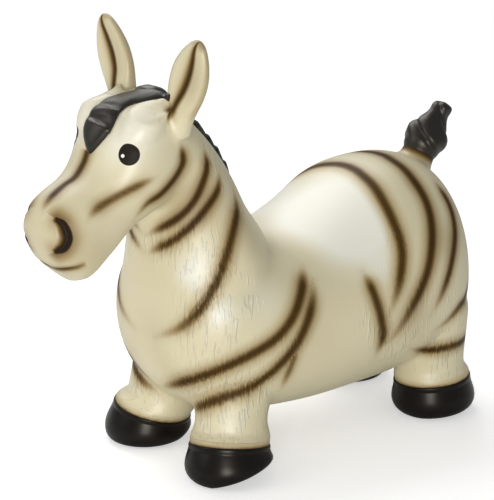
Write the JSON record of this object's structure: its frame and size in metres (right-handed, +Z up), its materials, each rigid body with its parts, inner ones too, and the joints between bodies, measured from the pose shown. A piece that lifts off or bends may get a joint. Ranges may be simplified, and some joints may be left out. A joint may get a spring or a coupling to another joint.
{
  "type": "bouncy ride-on animal",
  "caption": "Air-filled bouncy zebra that a small child sits on and bounces: soft striped PVC skin, black hooves, mane and tail, flexing ears and tail, and an air plug in the belly.",
  "frame": {"origin": "on the floor under the middle of the toy's own box, between the four hooves", "axes": "+Z up; the animal faces -Y, so its tail is at +Y; its left side is +X"},
  "size_m": [0.2537, 0.5924, 0.4994],
  "materials": {
    "cream_pvc": "pearly satin soft PVC with sprayed brown stripes",
    "black_pvc": "glossy black soft PVC",
    "valve_pvc": "milky satin PVC"
  },
  "bodies": {
    "body": {"chest_section": "cream_pvc", "saddle_section": "cream_pvc", "rump_section": "cream_pvc", "neck_section": "cream_pvc", "head_section": "cream_pvc", "muzzle_section": "cream_pvc", "front_left_leg": "cream_pvc", "front_right_leg": "cream_pvc", "rear_left_leg": "cream_pvc", "rear_right_leg": "cream_pvc", "front_left_hoof": "black_pvc", "front_right_hoof": "black_pvc", "rear_left_hoof": "black_pvc", "rear_right_hoof": "black_pvc", "ear_root_left": "cream_pvc", "ear_root_right": "cream_pvc", "mane_crest": "black_pvc", "forelock": "black_pvc", "tail_dock": "cream_pvc", "valve_seat": "valve_pvc"},
    "ear_left": {"ear_left": "cream_pvc"},
    "ear_right": {"ear_right": "cream_pvc"},
    "tail": {"tail_tuft": "black_pvc"},
    "plug": {"valve_plug": "valve_pvc"}
  },
  "joints": [
    {"name": "ear_left_flex", "type": "hinge", "parent": "body", "child": "ear_left", "pos_m": [0.05712, -0.13921, 0.42623], "axis": [0.9397, 0.0333, -0.3405], "range_deg": [-18, 18], "stiffness_Nm_per_rad": 0.5, "deforming": ["ear_root_left"]},
    {"name": "ear_right_flex", "type": "hinge", "parent": "body", "child": "ear_right", "pos_m": [-0.05712, -0.13921, 0.42623], "axis": [0.9397, -0.0333, 0.3405], "range_deg": [-18, 18], "stiffness_Nm_per_rad": 0.5, "deforming": ["ear_root_right"]},
    {"name": "tail_flex", "type": "hinge", "parent": "body", "child": "tail", "pos_m": [0, 0.24683, 0.28618], "axis": [1, 0, 0], "range_deg": [-15, 15], "stiffness_Nm_per_rad": 0.6, "deforming": ["tail_dock"]},
    {"name": "valve_plug_pull", "type": "slide", "parent": "body", "child": "plug", "axis": [0, 0, -1], "range_m": [0, 0.0275]}
  ]
}
